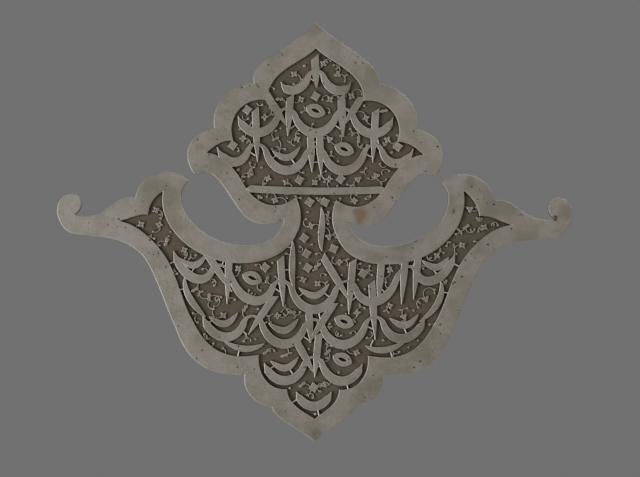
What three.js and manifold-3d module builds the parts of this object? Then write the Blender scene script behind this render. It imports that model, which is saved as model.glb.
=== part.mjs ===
// Inscribed wall plaque, cut and chiselled from one steel plate.
//
// An ogee medallion stands on a short neck above a spreading body with two curled wings.
// A flat raised band follows the whole edge. Inside it the ground is sunk, and raised strokes,
// lozenges, flowers and tendrils stand on the ground, almost flush with the band.
//
// Millimetres. +X runs along the wings, +Z is up, the face looks along -Y, and the flat back
// lies in the plane y = 0. The origin is on the back, at the middle of the plaque's height.

import * as THREE from 'three';
import Module from 'manifold-3d';

const wasm = await Module();
wasm.setup();

// Driving dimensions of the plate
const PLATE_THICKNESS = 5;
const GROUND_THICKNESS = 2;
const BAND_CHAMFER = 0.8;
const WALL_DRAFT = 0.5;

// Driving dimensions of what stands on the ground
const STROKE_DROP = 0.15;
const STROKE_DRAFT = 0.4;
const LOZENGE_SIZE = 6;
const FLOWER_RADIUS = 2.3;
const FLOWER_HEIGHT = 2.1;
const FLOWER_SPACING = 14;
const FLOWER_CLEARANCE = 3.4;
const FLOWER_REACH = 7;
const LOZENGE_TILT = 10;
const ROOT_DEPTH = 0.5;
const STROKE_RISE = PLATE_THICKNESS - GROUND_THICKNESS - STROKE_DROP;

// How far the outline may turn, in degrees, before it is cut into another straight length
const OUTLINE_TURN = 13;

// Right half of the plate's outline, from the top tip down to the bottom tip. Each stretch is one
// cubic curve: first handle, second handle, end point. The left half has the same stretches, with
// its distances from the axis also counted as positive, and differs where the hand that cut it did.
const TOP_TIP = [0, 163];
const BOTTOM_TIP = [1.5, -162];
const OUTER_RIGHT = {
  medallionFlank: [[18, 145], [54, 132], [48, 115.5]],
  upperLobe: [[60, 118], [83, 102], [78.5, 81]],
  sideLobe: [[94, 79], [107, 63], [94, 45]],
  bluntCorner: [[90, 44.8], [87, 46.5], [84, 46.5]],
  underside: [[76, 46], [68, 30], [60, 19.5]],
  gapRoof: [[52, 7], [42, 1], [26.5, 9.5]],
  gapFloor: [[28, -3], [41, -10], [54, -10]],
  crescent: [[80, -10], [104, 8], [103.5, 28]],
  beak: [[103.5, 33], [101, 37], [98, 39.5]],
  wingLobe: [[108, 50], [134, 51], [139.5, 26]],
  shoulder: [[154, 32], [164, 6], [186, 13]],
  curlBack: [[178, 17], [180, 29.5], [190, 29]],
  curlTop: [[196, 28.5], [200, 22], [200, 15]],
  curlFront: [[199.5, 8], [194, 0], [187, -1.8]],
  wingUnderside: [[168, -5.5], [149, -2], [133, -19]],
  bodyFlank: [[123, -32], [117, -54], [107, -75]],
  bodyCorner: [[99, -98], [86, -111.5], [53.5, -110.5]],
  bottomLobe: [[55, -122], [47, -133], [32, -135.5]],
  bottomFlank: [[29, -145], [12, -151], BOTTOM_TIP],
};
const OUTER_LEFT = {
  ...OUTER_RIGHT,
  gapRoof: [[52, 7], [40, 2], [24, 10.2]],
  gapFloor: [[26, -3], [39, -10], [54, -10]],
  curlFront: [[199, 8], [195, 0], [188, -2]],
};

// The sunk ground's outline, in the same form
const GROUND_TIP = [0, 143];
const GROUND_FOOT = [1.5, -144];
const GROUND_RIGHT = {
  medallionFlank: [[12, 131], [38, 125], [37, 102.5]],
  upperLobe: [[54, 106], [70, 90], [63.5, 71]],
  leafTop: [[72, 72], [79, 66], [84, 61.5]],
  leafUnderside: [[73, 61], [63, 51], [56, 39]],
  medallionFoot: [[47, 22], [32, 15], [16.5, 26]],
  neck: [[12.5, 17], [12.5, 8], [16, 0]],
  crescentStart: [[22, -17], [36, -24], [55, -24]],
  crescentEnd: [[88, -25], [121, 0], [115.5, 33.5]],
  upperLeaf: [[121, 30], [127, 22], [127.5, 14]],
  wingLeaf: [[135, 16], [144, 10], [152.5, 7.5]],
  wingUnderside: [[138, 6], [125, -6], [117, -17]],
  bodyFlank: [[106, -32], [102, -56], [93, -70]],
  bodyCorner: [[82, -92], [67, -99.5], [42, -94.5]],
  bottomLobe: [[44, -108], [35, -123], [20, -121]],
  bottomFlank: [[20, -133], [8, -138], GROUND_FOOT],
};
const GROUND_LEFT = {
  ...GROUND_RIGHT,
  medallionFoot: [[47, 22], [30, 15], [14.5, 28]],
  neck: [[9.5, 18], [9.5, 7], [13.5, 0]],
  crescentStart: [[19, -15], [36, -24], [57, -24]],
  crescentEnd: [[90, -25], [123, 2], [118, 31]],
  upperLeaf: [[124, 28], [129, 20], [129, 13]],
  wingLeaf: [[136, 14], [143, 10], [151, 8]],
};

// Widths of the strokes where they are broadest, and their least width as they run out. A blade's
// head is cut at a slant, and its pointed foot takes a share of its length. A lower fullness keeps
// a stroke broad nearer to its ends.
const SWING_WIDTH = 7.2;
const SWING_THIN_SHARE = 0.28;
const BLADE_WIDTH = 5.6;
const BLADE_SLANT = 0.7;
const BLADE_FOOT_SHARE = 0.5;
const BLADE_FULLNESS = 0.7;
const CRESCENT_WIDTH = 5.4;
const SWEEP_WIDTH = 5;
const BELLY_FULLNESS = 0.6;
const BAR_WIDTH = 5.6;
const LEAST_WIDTH = 0.9;

// The rows of strokes. They are marks of no alphabet: in each row a ribbon swings down and up
// along a baseline, broad in its hollows and thin over its crests. Blades stand on the crests, and
// a crescent or an almond leaf nests in each hollow.
// from: left end. bow: how far the row's ends lie above its middle. swings: length of each swing,
// the first one downwards. blades: swing number, lean in degrees to the right, reach above and
// below the row, and a shift to the right. nests: the mark in the hollow of each swing.
const SWING_DEPTH = 0.42;
const SWING_ROUNDNESS = 0.6;
const ROWS = [
  {
    from: -27, z: 121, bow: -4, swings: [21, 12, 21],
    blades: [[1, -4, 15, 8]],
    nests: ['none', 'none', 'none'],
  },
  {
    from: -60, z: 91, bow: -1, swings: [31, 13, 32, 13, 31],
    blades: [[1, -34, 20, 8, -5], [1, 3, 15, 16, 2], [3, 32, 18, 8, 4], [3, -3, 15, 16, -2]],
    nests: ['none', 'none', 'leaf', 'none', 'none'],
  },
  {
    from: -76, z: 61, bow: 5, swings: [24, 14, 31, 14, 31, 14, 24],
    blades: [[1, -3, 33, 8], [3, -3, 17, 14, -3], [3, -3, 17, 16, 4], [5, 3, 33, 8]],
    nests: ['lozenge', 'none', 'crescent', 'none', 'leaf', 'none', 'lozenge'],
  },
  {
    from: -109, z: -45, bow: 30, swings: [30, 15, 32, 15, 34, 15, 32, 15, 30],
    blades: [
      [1, -34, 22, 18, -2], [1, 2, 20, 22, 5], [3, -4, 24, 14], [5, -32, 30, 12, -2],
      [5, 4, 22, 20, 4], [6, 4, 20, 16, 3], [7, 4, 22, 22, -2], [7, 6, 20, 22, 8],
    ],
    nests: [
      'crescent', 'none', 'leaf', 'none', 'crescent', 'none', 'none', 'none', 'crescent',
    ],
  },
  {
    from: -86, z: -73, bow: 8, swings: [32, 14, 33, 14, 33, 14, 32],
    blades: [[1, 34, 26, 10, 2], [3, -4, 13, 12, -3], [3, 32, 22, 14, 4], [5, -4, 33, 12]],
    nests: ['crescent', 'none', 'crescent', 'none', 'leaf', 'none', 'crescent'],
  },
  {
    from: -38, z: -102, bow: 1, swings: [31, 14, 31],
    blades: [[1, -30, 22, 8, -3], [1, 5, 24, 10, 2]],
    nests: ['crescent', 'none', 'leaf'],
  },
  {
    from: -13, z: -123, bow: 0, swings: [27],
    blades: [],
    nests: ['lozenge'],
  },
];
const NEST_RISE = 0.12;
const CRESCENT = { across: 0.7, sag: 0.32, tilt: 8 };
const LEAF = { length: 16, width: 10.5, eyeLength: 7, eyeWidth: 2.6, tilt: -20 };

// The long level bar below the rows of the medallion
const BAR = { from: -53, to: 55, z: 34, bow: 1.5 };

// Short single strokes between the rows: start, two handles, end
const SWEEPS = [
  [[5, 20], [8, 8], [3, -4], [6, -14]],
  [[-17, -6], [-16, -20], [-19, -32], [-15, -44]],
  [[-100, -34], [-102, -48], [-92, -58], [-84, -66]],
  [[98, -36], [102, -48], [94, -60], [82, -68]],
  [[-70, -84], [-58, -92], [-48, -92], [-38, -86]],
  [[40, -87], [50, -93], [60, -91], [72, -83]],
];

// Lozenges: middle x, middle z, angle in degrees
const LOZENGES = [
  [-4, 24, 10], [8, 24, 18], [-8, -4, 8], [-6, -16, 12], [15, -12, 20], [-5, -27, 10],
  [-38, -27, 6], [-12, 41, 12], [20, 42, 8], [0, 106, 14], [-53, 95, 10], [38, -31, 14],
];

// Finish
const STEEL_COLOUR = 0x837c72;

// How many straight lengths follow a curve closely enough
function lengthsNeeded(curve) {
  const samples = 24;
  let turn = 0;
  for (let i = 0; i < samples; i += 1) {
    const here = curve.getTangent(i / samples);
    const next = curve.getTangent((i + 1) / samples);
    turn += Math.abs(Math.atan2(here.cross(next), here.dot(next)));
  }
  return Math.max(2, Math.ceil(THREE.MathUtils.radToDeg(turn) / OUTLINE_TURN));
}

// One half of an outline as points, from its tip, on the side that the sign gives
function halfOutline(tip, stretches, side) {
  const points = [];
  let start = tip;
  for (const [first, second, end] of Object.values(stretches)) {
    const curve = new THREE.CubicBezierCurve(
      new THREE.Vector2(...start),
      new THREE.Vector2(...first),
      new THREE.Vector2(...second),
      new THREE.Vector2(...end),
    );
    const cut = curve.getPoints(lengthsNeeded(curve));
    for (const point of cut.slice(1)) points.push([side * point.x, point.y]);
    start = end;
  }
  return points;
}

// A closed outline, anticlockwise as seen from the front
function closedOutline(tip, left, right, foot) {
  const down = halfOutline(tip, left, -1).slice(0, -1);
  const up = halfOutline(tip, right, 1).slice(0, -1).reverse();
  return [tip, ...down, foot, ...up];
}

// An anticlockwise outline moved outwards by a distance, mitred at its corners
function offsetOutline(points, distance) {
  const MITRE_LIMIT = 2;
  return points.map((point, i) => {
    const before = points[(i + points.length - 1) % points.length];
    const after = points[(i + 1) % points.length];
    const normalIn = rightNormal(before, point);
    const normalOut = rightNormal(point, after);
    const middle = [(normalIn[0] + normalOut[0]) / 2, (normalIn[1] + normalOut[1]) / 2];
    const squared = middle[0] ** 2 + middle[1] ** 2;
    const reach = distance * Math.min(1 / squared, MITRE_LIMIT / Math.sqrt(squared));
    return [point[0] + middle[0] * reach, point[1] + middle[1] * reach];
  });
}

function rightNormal(from, to) {
  const dx = to[0] - from[0];
  const dz = to[1] - from[1];
  const length = Math.hypot(dx, dz);
  return [dz / length, -dx / length];
}

// A closed solid through rings from back to front, each an outline at its own depth y
function loftedSolid(rings) {
  const count = rings[0].outline.length;
  const vertices = rings.flatMap(({ outline, y }) => outline.flatMap(([x, z]) => [x, y, z]));
  const triangles = [];
  for (let ring = 0; ring + 1 < rings.length; ring += 1) {
    for (let i = 0; i < count; i += 1) {
      const a = ring * count + i;
      const b = ring * count + ((i + 1) % count);
      triangles.push(a, b, b + count, a, b + count, a + count);
    }
  }
  triangles.push(...capTriangles(rings[0].outline, 0, true));
  triangles.push(...capTriangles(rings.at(-1).outline, (rings.length - 1) * count, false));
  return solidFrom(vertices, triangles);
}

function capTriangles(outline, firstIndex, facesBack) {
  const contour = outline.map(([x, z]) => new THREE.Vector2(x, z));
  const faces = THREE.ShapeUtils.triangulateShape(contour, []);
  return faces.flatMap(([a, b, c]) => {
    const face = facesBack ? [a, c, b] : [a, b, c];
    return face.map((index) => index + firstIndex);
  });
}

function solidFrom(vertices, triangles) {
  const mesh = new wasm.Mesh({
    numProp: 3,
    vertProperties: new Float32Array(vertices),
    triVerts: new Uint32Array(triangles),
  });
  const solid = new wasm.Manifold(mesh);
  if (solid.volume() <= 0) throw new Error('a solid is inside out');
  return solid;
}

const outer = closedOutline(TOP_TIP, OUTER_LEFT, OUTER_RIGHT, BOTTOM_TIP);
const ground = closedOutline(GROUND_TIP, GROUND_LEFT, GROUND_RIGHT, GROUND_FOOT);

// The plate with its chamfered front edge
function makePlate() {
  return loftedSolid([
    { outline: outer, y: 0 },
    { outline: outer, y: -(PLATE_THICKNESS - BAND_CHAMFER) },
    { outline: offsetOutline(outer, -BAND_CHAMFER), y: -PLATE_THICKNESS },
  ]);
}

// The pocket that sinks the ground, a little wider at the mouth
function makePocket() {
  const overshoot = 1;
  const slope = WALL_DRAFT / (PLATE_THICKNESS - GROUND_THICKNESS);
  const spread = slope * (PLATE_THICKNESS - GROUND_THICKNESS + overshoot);
  return loftedSolid([
    { outline: ground, y: -GROUND_THICKNESS },
    { outline: offsetOutline(ground, spread), y: -(PLATE_THICKNESS + overshoot) },
  ]);
}

function turned([u, v], degrees, [x, z]) {
  const angle = THREE.MathUtils.degToRad(degrees);
  return [
    x + u * Math.cos(angle) - v * Math.sin(angle),
    z + u * Math.sin(angle) + v * Math.cos(angle),
  ];
}

// A raised ribbon along a stroke's line, narrower at its top, and rooted a little way into the
// ground. The slant sets the right side of its head forward and the left side back.
function makeRibbon({ line, widths, slant = 0 }) {
  const footY = -(GROUND_THICKNESS - ROOT_DEPTH);
  const topY = -(PLATE_THICKNESS - STROKE_DROP);
  const vertices = [];
  line.forEach((at, i) => {
    const [nx, nz] = rightNormal(line[Math.max(i - 1, 0)], line[Math.min(i + 1, line.length - 1)]);
    const foot = Math.max(LEAST_WIDTH, widths[i]) / 2;
    const top = Math.max(foot - STROKE_DRAFT, foot / 2);
    const skew = i === 0 ? slant : 0;
    for (const [reach, y] of [[-foot, footY], [-top, topY], [top, topY], [foot, footY]]) {
      vertices.push(at[0] + (nx - nz * skew) * reach, y, at[1] + (nz + nx * skew) * reach);
    }
  });
  const last = 4 * (line.length - 1);
  const triangles = [0, 2, 1, 0, 3, 2, last, last + 1, last + 2, last, last + 2, last + 3];
  for (let ring = 0; ring < last; ring += 4) {
    for (let side = 0; side < 4; side += 1) {
      const a = ring + side;
      const b = ring + ((side + 1) % 4);
      triangles.push(a, b, b + 4, a, b + 4, a + 4);
    }
  }
  return solidFrom(vertices, triangles);
}

// A stroke whose width is a share of its broadest, by how far along it is
function strokeAlong(line, broad, shareAt) {
  return { line, widths: line.map((_, i) => broad * shareAt(i / (line.length - 1))) };
}

function baseline(row, x) {
  const half = row.swings.reduce((sum, length) => sum + length, 0) / 2;
  const share = (x - row.from - half) / half;
  return row.z + row.bow * share ** 2;
}

// The ribbon that swings along a row, in arcs that are rounder than a wave's
function swingStroke(row) {
  const LONG_SWING = 24;
  const line = [];
  const widths = [];
  let start = row.from;
  row.swings.forEach((length, number) => {
    const cuts = length > LONG_SWING ? 7 : 4;
    const way = number % 2 === 0 ? -1 : 1;
    for (let i = number === 0 ? 0 : 1; i <= cuts; i += 1) {
      const turn = (Math.PI * i) / cuts;
      const round = (1 - Math.cos(turn)) / 2;
      const share = SWING_ROUNDNESS * round + (1 - SWING_ROUNDNESS) * (i / cuts);
      const x = start + length * share;
      const low = (1 - way * Math.sin(turn)) / 2;
      line.push([x, baseline(row, x) + way * SWING_DEPTH * length * Math.sin(turn)]);
      widths.push(SWING_WIDTH * (SWING_THIN_SHARE + (1 - SWING_THIN_SHARE) * low));
    }
    start += length;
  });
  widths[0] = 0;
  widths[widths.length - 1] = 0;
  return { line, widths };
}

function swingMiddle(row, number) {
  const before = row.swings.slice(0, number).reduce((sum, length) => sum + length, 0);
  return row.from + before + row.swings[number] / 2;
}

// A straight blade with a slanted head and a long pointed foot
function bladeStroke(row, [number, lean, above, below, shift = 0]) {
  const CUTS = 4;
  const x = swingMiddle(row, number) + shift;
  const z = baseline(row, x);
  const angle = THREE.MathUtils.degToRad(lean);
  const line = [];
  for (let i = 0; i <= CUTS; i += 1) {
    const along = above - ((above + below) * i) / CUTS;
    line.push([x + along * Math.sin(angle), z + along * Math.cos(angle)]);
  }
  const blade = strokeAlong(line, BLADE_WIDTH, (t) =>
    Math.min(1, ((1 - t) / BLADE_FOOT_SHARE) ** BLADE_FULLNESS),
  );
  return { ...blade, slant: BLADE_SLANT };
}

// Where the mark in the hollow of one swing of a row lies, and how long the swing is
function nestPlace(row, number) {
  const length = row.swings[number];
  const x = swingMiddle(row, number);
  const inward = number % 2 === 0 ? 1 : -1;
  return { x, z: baseline(row, x) + inward * NEST_RISE * length, length, inward };
}

// The nests of one kind in all the rows
function nestsOf(kind) {
  return ROWS.flatMap((row) =>
    row.nests.flatMap((nest, number) => (nest === kind ? [nestPlace(row, number)] : [])),
  );
}

function broadInTheMiddle(t) {
  return Math.sin(Math.PI * t) ** BELLY_FULLNESS;
}

// A crescent with its open side to the outside of the swing
function crescentStroke({ x, z, length, inward }) {
  const CUTS = 6;
  const across = CRESCENT.across * length;
  const line = [];
  for (let i = 0; i <= CUTS; i += 1) {
    const t = i / CUTS;
    const point = [across * (t - 0.5), -CRESCENT.sag * across * Math.sin(Math.PI * t)];
    line.push(turned(point, inward > 0 ? CRESCENT.tilt : CRESCENT.tilt + 180, [x, z]));
  }
  return strokeAlong(line, CRESCENT_WIDTH, broadInTheMiddle);
}

function sweepStroke(handles) {
  const CUTS = 8;
  const curve = new THREE.CubicBezierCurve(...handles.map((point) => new THREE.Vector2(...point)));
  const line = curve.getPoints(CUTS).map(({ x, y }) => [x, y]);
  return strokeAlong(line, SWEEP_WIDTH, broadInTheMiddle);
}

function barStroke({ from, to, z, bow }) {
  const END_SHARE = 0.03;
  const shares = [0, END_SHARE, 0.25, 0.5, 0.75, 1 - END_SHARE, 1];
  const line = shares.map((t) => [from + (to - from) * t, z - bow * Math.sin(Math.PI * t)]);
  return strokeAlong(line, BAR_WIDTH, (t) => (t > 0 && t < 1 ? 1 : 0));
}

// A low stud with the given outline, drawn in towards its top
function makeStud(outline, height, draft) {
  return loftedSolid([
    { outline, y: -(GROUND_THICKNESS - ROOT_DEPTH) },
    { outline: offsetOutline(outline, -draft), y: -(GROUND_THICKNESS + height) },
  ]);
}

function polygon(sides, radius, degrees, centre) {
  const points = [];
  for (let i = 0; i < sides; i += 1) {
    const angle = (2 * Math.PI * i) / sides;
    points.push(turned([radius * Math.cos(angle), radius * Math.sin(angle)], degrees, centre));
  }
  return points;
}

// An almond outline with two pointed ends
function almond(sides, length, width, degrees, centre) {
  const POINTEDNESS = 1.5;
  const points = [];
  for (let i = 0; i < sides; i += 1) {
    const angle = (2 * Math.PI * i) / sides;
    const bulge = Math.sign(Math.sin(angle)) * Math.abs(Math.sin(angle)) ** POINTEDNESS;
    const point = [(length / 2) * Math.cos(angle), (width / 2) * bulge];
    points.push(turned(point, degrees, centre));
  }
  return points;
}

// A raised almond leaf with an almond eye cut through it to the ground
function makeLeaf({ x, z }) {
  const eye = almond(6, LEAF.eyeLength, LEAF.eyeWidth, LEAF.tilt, [x, z]);
  const cutter = loftedSolid([
    { outline: eye, y: -GROUND_THICKNESS },
    { outline: eye, y: -(PLATE_THICKNESS + 1) },
  ]);
  const leaf = almond(12, LEAF.length, LEAF.width, LEAF.tilt, [x, z]);
  return makeStud(leaf, STROKE_RISE, STROKE_DRAFT).subtract(cutter);
}

function makeLozenge([x, z, degrees]) {
  const outline = polygon(4, LOZENGE_SIZE / Math.SQRT2, degrees, [x, z]);
  return makeStud(outline, STROKE_RISE, STROKE_DRAFT);
}

function makeFlower([x, z]) {
  const outline = polygon(5, FLOWER_RADIUS, 18, [x, z]);
  return makeStud(outline, FLOWER_HEIGHT, STROKE_DRAFT);
}

function distanceToLength([x, z], [ax, az], [bx, bz]) {
  const dx = bx - ax;
  const dz = bz - az;
  const along = ((x - ax) * dx + (z - az) * dz) / (dx * dx + dz * dz);
  const t = THREE.MathUtils.clamp(along, 0, 1);
  return Math.hypot(x - ax - t * dx, z - az - t * dz);
}

function distanceToLine(point, line) {
  const lengths = line.slice(1).map((end, i) => distanceToLength(point, line[i], end));
  return Math.min(...lengths);
}

function isInside([x, z], outline) {
  let inside = false;
  outline.forEach(([ax, az], i) => {
    const [bx, bz] = outline[(i + 1) % outline.length];
    const crosses = az > z !== bz > z;
    if (crosses && x < ax + ((z - az) * (bx - ax)) / (bz - az)) inside = !inside;
  });
  return inside;
}

// How far a point of the ground is from the band, the strokes and the other marks
function clearanceAt(point, strokes, spots) {
  if (!isInside(point, ground)) return 0;
  return Math.min(
    distanceToLine(point, [...ground, ground[0]]),
    ...strokes.map(({ line, widths }) => distanceToLine(point, line) - Math.max(...widths) / 2),
    ...spots.map(([x, z, reach]) => Math.hypot(point[0] - x, point[1] - z) - reach),
  );
}

// The flowers: one in the roomiest spot of each cell of a grid, where there is room for one
function flowerPlaces(strokes, marks) {
  const CELLS_EACH_WAY = 11;
  const TRIES = 5;
  const spots = [...marks];
  const places = [];
  for (let row = -CELLS_EACH_WAY; row <= CELLS_EACH_WAY; row += 1) {
    for (let column = -CELLS_EACH_WAY; column <= CELLS_EACH_WAY; column += 1) {
      let best = { clearance: FLOWER_CLEARANCE };
      for (let i = 0; i < TRIES * TRIES; i += 1) {
        const place = [
          (column + ((i % TRIES) + 0.5) / TRIES - 0.5) * FLOWER_SPACING,
          (row + (Math.floor(i / TRIES) + 0.5) / TRIES - 0.5) * FLOWER_SPACING,
        ];
        const clearance = clearanceAt(place, strokes, spots);
        if (clearance > best.clearance) best = { place, clearance };
      }
      if (best.place) {
        places.push(best.place);
        spots.push([...best.place, FLOWER_REACH]);
      }
    }
  }
  return places;
}

const strokes = [
  ...ROWS.map(swingStroke),
  ...ROWS.flatMap((row) => row.blades.map((blade) => bladeStroke(row, blade))),
  ...nestsOf('crescent').map(crescentStroke),
  ...SWEEPS.map(sweepStroke),
  barStroke(BAR),
];
const leaves = nestsOf('leaf');
const lozenges = [...LOZENGES, ...nestsOf('lozenge').map(({ x, z }) => [x, z, LOZENGE_TILT])];
const flowers = flowerPlaces(strokes, [
  ...leaves.map(({ x, z }) => [x, z, LEAF.length / 2]),
  ...lozenges.map(([x, z]) => [x, z, LOZENGE_SIZE / Math.SQRT2]),
]);

const raised = [
  ...strokes.map(makeRibbon),
  ...leaves.map(makeLeaf),
  ...lozenges.map(makeLozenge),
  ...flowers.map(makeFlower),
];
const carving = wasm.Manifold.union(raised).intersect(loftedSolid([
  { outline: outer, y: 0 },
  { outline: outer, y: -(PLATE_THICKNESS + 1) },
]));
const plaqueSolid = makePlate().subtract(makePocket()).add(carving);

function meshFrom(solid, name, material) {
  const { vertProperties, triVerts } = solid.getMesh();
  const geometry = new THREE.BufferGeometry();
  geometry.setAttribute('position', new THREE.BufferAttribute(vertProperties, 3));
  geometry.setIndex(new THREE.BufferAttribute(triVerts, 1));
  geometry.computeVertexNormals();
  const mesh = new THREE.Mesh(geometry, material);
  mesh.name = name;
  return mesh;
}

const steel = new THREE.MeshStandardMaterial({ color: STEEL_COLOUR, roughness: 0.5, metalness: 0.8 });
const group = new THREE.Group();
group.add(meshFrom(plaqueSolid, 'plaque', steel));

export default group;
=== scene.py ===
"""Chiselled steel wall plaque: the fine surface of the carved plate, its finish, and a studio.

The plate, band, strokes, lozenges, flowers and tendrils are one piece of steel, so they are
modelled one after another and united into one closed mesh. Shapes are drawn flat, in millimetres
to the right of the middle and above it, and stood up with their front towards -Y.
"""

import math
import random

import bpy
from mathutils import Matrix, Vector, noise


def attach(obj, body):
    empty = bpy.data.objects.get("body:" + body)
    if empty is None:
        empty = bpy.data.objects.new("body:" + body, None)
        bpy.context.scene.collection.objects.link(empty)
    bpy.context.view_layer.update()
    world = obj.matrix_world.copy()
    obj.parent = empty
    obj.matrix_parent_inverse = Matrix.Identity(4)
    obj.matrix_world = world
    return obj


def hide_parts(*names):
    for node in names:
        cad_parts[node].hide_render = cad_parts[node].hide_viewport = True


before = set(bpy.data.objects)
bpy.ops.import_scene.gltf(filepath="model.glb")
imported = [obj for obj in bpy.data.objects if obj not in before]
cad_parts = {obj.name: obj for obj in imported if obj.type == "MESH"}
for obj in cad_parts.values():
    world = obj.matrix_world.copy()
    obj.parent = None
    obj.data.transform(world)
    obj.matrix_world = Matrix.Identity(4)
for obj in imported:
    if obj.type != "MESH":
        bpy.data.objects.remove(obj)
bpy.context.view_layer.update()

bl_info = {
    "name": "Chiselled Wall Plaque",
    "version": (1, 0, 0),
    "blender": (4, 5, 0),
    "location": "View3D > Sidebar > Plaque",
    "description": "Models the carved steel plaque piece by piece",
    "category": "Object",
}

MM = 0.001
PIECE = "carved_plaque"
OUTLINE_CUTS = 22
ROOT = 0.6 * MM

# Right half of the plate's outline, from the top tip down to the bottom tip. Each stretch is one
# cubic curve: first handle, second handle, end point. The left half has the same stretches, with
# its distances from the middle also counted as positive, and differs where the hand did.
TOP_TIP = (0, 163)
BOTTOM_TIP = (1.5, -162)
OUTER_RIGHT = {
    "medallion_flank": ((18, 145), (54, 132), (48, 115.5)),
    "upper_lobe": ((60, 118), (83, 102), (78.5, 81)),
    "side_lobe": ((94, 79), (107, 63), (94, 45)),
    "blunt_corner": ((90, 44.8), (87, 46.5), (84, 46.5)),
    "underside": ((76, 46), (68, 30), (60, 19.5)),
    "gap_roof": ((52, 7), (42, 1), (26.5, 9.5)),
    "gap_floor": ((28, -3), (41, -10), (54, -10)),
    "crescent": ((80, -10), (104, 8), (103.5, 28)),
    "beak": ((103.5, 33), (101, 37), (98, 39.5)),
    "wing_lobe": ((108, 50), (134, 51), (139.5, 26)),
    "shoulder": ((154, 32), (164, 6), (186, 13)),
    "curl_back": ((178, 17), (180, 29.5), (190, 29)),
    "curl_top": ((196, 28.5), (200, 22), (200, 15)),
    "curl_front": ((199.5, 8), (194, 0), (187, -1.8)),
    "wing_underside": ((168, -5.5), (149, -2), (133, -19)),
    "body_flank": ((123, -32), (117, -54), (107, -75)),
    "body_corner": ((99, -98), (86, -111.5), (53.5, -110.5)),
    "bottom_lobe": ((55, -122), (47, -133), (32, -135.5)),
    "bottom_flank": ((29, -145), (12, -151), BOTTOM_TIP),
}
OUTER_LEFT = {
    **OUTER_RIGHT,
    "gap_roof": ((52, 7), (40, 2), (24, 10.2)),
    "gap_floor": ((26, -3), (39, -10), (54, -10)),
    "curl_front": ((199, 8), (195, 0), (188, -2)),
}

# The sunk ground's outline, in the same form
GROUND_TIP = (0, 143)
GROUND_FOOT = (1.5, -144)
GROUND_RIGHT = {
    "medallion_flank": ((12, 131), (38, 125), (37, 102.5)),
    "upper_lobe": ((54, 106), (70, 90), (63.5, 71)),
    "leaf_top": ((72, 72), (79, 66), (84, 61.5)),
    "leaf_underside": ((73, 61), (63, 51), (56, 39)),
    "medallion_foot": ((47, 22), (32, 15), (16.5, 26)),
    "neck": ((12.5, 17), (12.5, 8), (16, 0)),
    "crescent_start": ((22, -17), (36, -24), (55, -24)),
    "crescent_end": ((88, -25), (121, 0), (115.5, 33.5)),
    "upper_leaf": ((121, 30), (127, 22), (127.5, 14)),
    "wing_leaf": ((135, 16), (144, 10), (152.5, 7.5)),
    "wing_underside": ((138, 6), (125, -6), (117, -17)),
    "body_flank": ((106, -32), (102, -56), (93, -70)),
    "body_corner": ((82, -92), (67, -99.5), (42, -94.5)),
    "bottom_lobe": ((44, -108), (35, -123), (20, -121)),
    "bottom_flank": ((20, -133), (8, -138), GROUND_FOOT),
}
GROUND_LEFT = {
    **GROUND_RIGHT,
    "medallion_foot": ((47, 22), (30, 15), (14.5, 28)),
    "neck": ((9.5, 18), (9.5, 7), (13.5, 0)),
    "crescent_start": ((19, -15), (36, -24), (57, -24)),
    "crescent_end": ((90, -25), (123, 2), (118, 31)),
    "upper_leaf": ((124, 28), (129, 20), (129, 13)),
    "wing_leaf": ((136, 14), (143, 10), (151, 8)),
}

# The rows of strokes, marks of no alphabet. start: left end. bow: how far the row's ends lie above
# its middle. swings: length of each swing, the first one downwards. blades: swing number, lean in
# degrees to the right, reach above and below the row, and a shift to the right. nests: the mark
# in the hollow of each swing.
ROWS = [
    {
        "start": -27, "z": 121, "bow": -4, "swings": [21, 12, 21],
        "blades": [(1, -4, 15, 8, 0)],
        "nests": ["", "", ""],
    },
    {
        "start": -60, "z": 91, "bow": -1, "swings": [31, 13, 32, 13, 31],
        "blades": [(1, -34, 20, 8, -5), (1, 3, 15, 16, 2), (3, 32, 18, 8, 4), (3, -3, 15, 16, -2)],
        "nests": ["", "", "leaf", "", ""],
    },
    {
        "start": -76, "z": 61, "bow": 5, "swings": [24, 14, 31, 14, 31, 14, 24],
        "blades": [(1, -3, 33, 8, 0), (3, -3, 17, 14, -3), (3, -3, 17, 16, 4), (5, 3, 33, 8, 0)],
        "nests": ["lozenge", "", "crescent", "", "leaf", "", "lozenge"],
    },
    {
        "start": -109, "z": -45, "bow": 30, "swings": [30, 15, 32, 15, 34, 15, 32, 15, 30],
        "blades": [
            (1, -34, 22, 18, -2), (1, 2, 20, 22, 5), (3, -4, 24, 14, 0), (5, -32, 30, 12, -2),
            (5, 4, 22, 20, 4), (6, 4, 20, 16, 3), (7, 4, 22, 22, -2), (7, 6, 20, 22, 8),
        ],
        "nests": ["crescent", "", "leaf", "", "crescent", "", "", "", "crescent"],
    },
    {
        "start": -86, "z": -73, "bow": 8, "swings": [32, 14, 33, 14, 33, 14, 32],
        "blades": [(1, 34, 26, 10, 2), (3, -4, 13, 12, -3), (3, 32, 22, 14, 4), (5, -4, 33, 12, 0)],
        "nests": ["crescent", "", "crescent", "", "leaf", "", "crescent"],
    },
    {
        "start": -38, "z": -102, "bow": 1, "swings": [31, 14, 31],
        "blades": [(1, -30, 22, 8, -3), (1, 5, 24, 10, 2)],
        "nests": ["crescent", "", "leaf"],
    },
    {
        "start": -13, "z": -123, "bow": 0, "swings": [27],
        "blades": [],
        "nests": ["lozenge"],
    },
]
SWING_DEPTH = 0.42
SWING_ROUNDNESS = 0.6
LONG_SWING = 24
NEST_RISE = 0.12
CRESCENT_ACROSS = 0.7
CRESCENT_SAG = 0.32
CRESCENT_TILT = 8
LEAF_TILT = -20

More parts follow.
